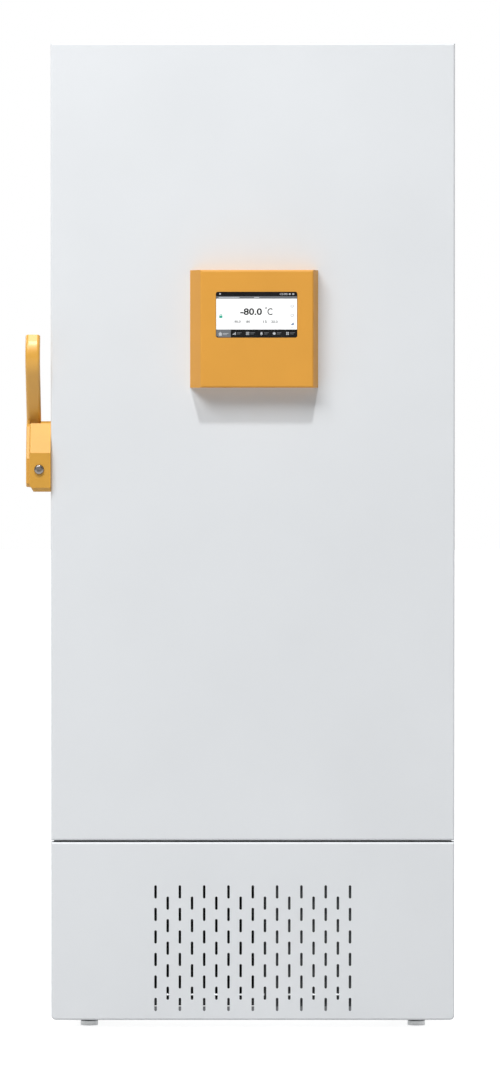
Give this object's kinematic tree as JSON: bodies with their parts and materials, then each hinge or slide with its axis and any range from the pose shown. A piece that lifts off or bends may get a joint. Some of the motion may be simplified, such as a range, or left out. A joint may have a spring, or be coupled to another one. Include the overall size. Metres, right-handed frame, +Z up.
{
  "type": "ultra low temperature freezer",
  "caption": "Tall upright laboratory freezer with a latched outer door, insulated inner doors and a slotted lower panel.",
  "frame": {"origin": "on the floor, under the middle of the cabinet's width and the middle of the depth from door front to cabinet back", "axes": "+X to the user's right, -Y the front with the door, +Z up"},
  "size_m": [0.828, 0.9377, 1.903],
  "materials": {
    "white_enamelled_steel": "satin",
    "galvanised_steel": "matte",
    "stainless_steel": "satin",
    "rigid_foam": "matte",
    "white_abs": "satin",
    "gasket_rubber": "matte",
    "zinc_plated_steel": "satin",
    "gold_enamel": "satin",
    "gold_housing": "satin",
    "black_glass": "gloss",
    "copper": "satin",
    "aluminium_core": "satin",
    "black_enamel": "satin",
    "black_rubber": "matte",
    "jacket_foam": "matte",
    "grey_enamel": "satin",
    "black_plastic": "satin",
    "grey_silicone": "matte",
    "filter_foam": "matte",
    "wheel_nylon": "satin"
  },
  "bodies": {
    "cabinet": {"cabinet_shell": "white_enamelled_steel", "rear_panel": "galvanised_steel", "cabinet_foam": "rigid_foam", "chamber_liner": "stainless_steel", "breaker_frame": "white_abs", "evaporator_coil": "copper", "shelf_pilasters": "stainless_steel", "shelves": "stainless_steel", "hinge_cabinet_leaves": "zinc_plated_steel", "hinge_pins": "zinc_plated_steel", "inner_hinge_brackets": "stainless_steel", "striker": "zinc_plated_steel", "panel_hinge_pins": "zinc_plated_steel", "base_pan": "galvanised_steel", "base_frame": "galvanised_steel", "side_covers": "white_enamelled_steel", "rear_grille": "galvanised_steel", "power_inlet": "black_plastic", "condenser": "aluminium_core", "fan_shroud": "galvanised_steel", "fan_motor": "black_enamel", "compressors": "black_enamel", "compressor_mounts": "black_rubber", "heat_exchanger": "jacket_foam", "refrigerant_lines": "copper", "control_box": "grey_enamel", "caster_plates": "galvanised_steel"},
    "door": {"door_skin": "white_enamelled_steel", "door_foam": "rigid_foam", "door_liner": "white_abs", "door_gasket": "gasket_rubber", "hinge_door_leaves": "zinc_plated_steel", "display_housing": "gold_housing", "touch_screen": "black_glass", "handle_bracket": "gold_enamel", "handle_screw": "zinc_plated_steel", "lever_pin": "zinc_plated_steel"},
    "lever": {"handle_lever": "gold_enamel", "latch_hook": "zinc_plated_steel"},
    "inner_upper": {"inner_door_upper": "white_abs", "inner_door_gasket_upper": "gasket_rubber"},
    "inner_lower": {"inner_door_lower": "white_abs", "inner_door_gasket_lower": "gasket_rubber"},
    "lower_panel": {"grille_panel": "white_enamelled_steel", "air_filter": "filter_foam"},
    "fan": {"fan_blades": "black_plastic"},
    "port_plug": {"access_port_plug": "grey_silicone"},
    "power_switch": {"power_rocker": "black_plastic"},
    "caster_front_left": {"caster_fork_front_left": "zinc_plated_steel"},
    "wheel_front_left": {"caster_wheel_front_left": "wheel_nylon"},
    "caster_front_right": {"caster_fork_front_right": "zinc_plated_steel"},
    "wheel_front_right": {"caster_wheel_front_right": "wheel_nylon"},
    "caster_back_left": {"caster_fork_back_left": "zinc_plated_steel"},
    "wheel_back_left": {"caster_wheel_back_left": "wheel_nylon"},
    "caster_back_right": {"caster_fork_back_right": "zinc_plated_steel"},
    "wheel_back_right": {"caster_wheel_back_right": "wheel_nylon"},
    "foot_left": {"levelling_foot_left": "zinc_plated_steel"},
    "foot_right": {"levelling_foot_right": "zinc_plated_steel"}
  },
  "joints": [
    {"name": "door_hinge", "type": "hinge", "parent": "cabinet", "child": "door", "pos_m": [0.382, -0.358, 1.1335], "axis": [0, 0, 1], "range_deg": [0, 120]},
    {"name": "latch_lever", "type": "hinge", "parent": "door", "child": "lever", "pos_m": [-0.427, -0.436, 1.058], "axis": [1, 0, 0], "range_deg": [0, 7.5]},
    {"name": "inner_door_upper_hinge", "type": "hinge", "parent": "cabinet", "child": "inner_upper", "pos_m": [0.244, -0.33, 1.457], "axis": [0, 0, 1], "range_deg": [0, 100]},
    {"name": "inner_door_lower_hinge", "type": "hinge", "parent": "cabinet", "child": "inner_lower", "pos_m": [0.244, -0.33, 0.808], "axis": [0, 0, 1], "range_deg": [0, 100]},
    {"name": "lower_panel_hinge", "type": "hinge", "parent": "cabinet", "child": "lower_panel", "pos_m": [0.381, -0.402, 0.188], "axis": [0, 0, 1], "range_deg": [0, 110]},
    {"name": "fan_spin", "type": "hinge", "parent": "cabinet", "child": "fan", "pos_m": [-0.156, -0.328, 0.206], "axis": [0, 1, 0], "continuous": true},
    {"name": "port_plug_slide", "type": "slide", "parent": "cabinet", "child": "port_plug", "axis": [0, 1, 0], "range_m": [0, 0.08]},
    {"name": "power_rocker_tilt", "type": "hinge", "parent": "cabinet", "child": "power_switch", "pos_m": [0.29, -0.391, 0.3], "axis": [1, 0, 0], "range_deg": [0, 16]},
    {"name": "caster_front_left_swivel", "type": "hinge", "parent": "cabinet", "child": "caster_front_left", "pos_m": [-0.297, -0.29, 0.085], "axis": [0, 0, 1], "continuous": true},
    {"name": "caster_front_left_roll", "type": "hinge", "parent": "caster_front_left", "child": "wheel_front_left", "pos_m": [-0.297, -0.262, 0.0375], "axis": [1, 0, 0], "continuous": true},
    {"name": "caster_front_right_swivel", "type": "hinge", "parent": "cabinet", "child": "caster_front_right", "pos_m": [0.297, -0.29, 0.085], "axis": [0, 0, 1], "continuous": true},
    {"name": "caster_front_right_roll", "type": "hinge", "parent": "caster_front_right", "child": "wheel_front_right", "pos_m": [0.297, -0.262, 0.0375], "axis": [1, 0, 0], "continuous": true},
    {"name": "caster_back_left_swivel", "type": "hinge", "parent": "cabinet", "child": "caster_back_left", "pos_m": [-0.297, 0.345, 0.085], "axis": [0, 0, 1], "continuous": true},
    {"name": "caster_back_left_roll", "type": "hinge", "parent": "caster_back_left", "child": "wheel_back_left", "pos_m": [-0.297, 0.373, 0.0375], "axis": [1, 0, 0], "continuous": true},
    {"name": "caster_back_right_swivel", "type": "hinge", "parent": "cabinet", "child": "caster_back_right", "pos_m": [0.297, 0.345, 0.085], "axis": [0, 0, 1], "continuous": true},
    {"name": "caster_back_right_roll", "type": "hinge", "parent": "caster_back_right", "child": "wheel_back_right", "pos_m": [0.297, 0.373, 0.0375], "axis": [1, 0, 0], "continuous": true},
    {"name": "levelling_foot_left_screw", "type": "slide", "parent": "cabinet", "child": "foot_left", "axis": [0, 0, 1], "range_m": [0, 0.012]},
    {"name": "levelling_foot_right_screw", "type": "slide", "parent": "cabinet", "child": "foot_right", "axis": [0, 0, 1], "range_m": [0, 0.012]}
  ],
  "couplings": [
    {"joint": "inner_door_upper_hinge", "follows": "door_hinge", "ratio": 0.8},
    {"joint": "inner_door_lower_hinge", "follows": "door_hinge", "ratio": 0.8}
  ]
}
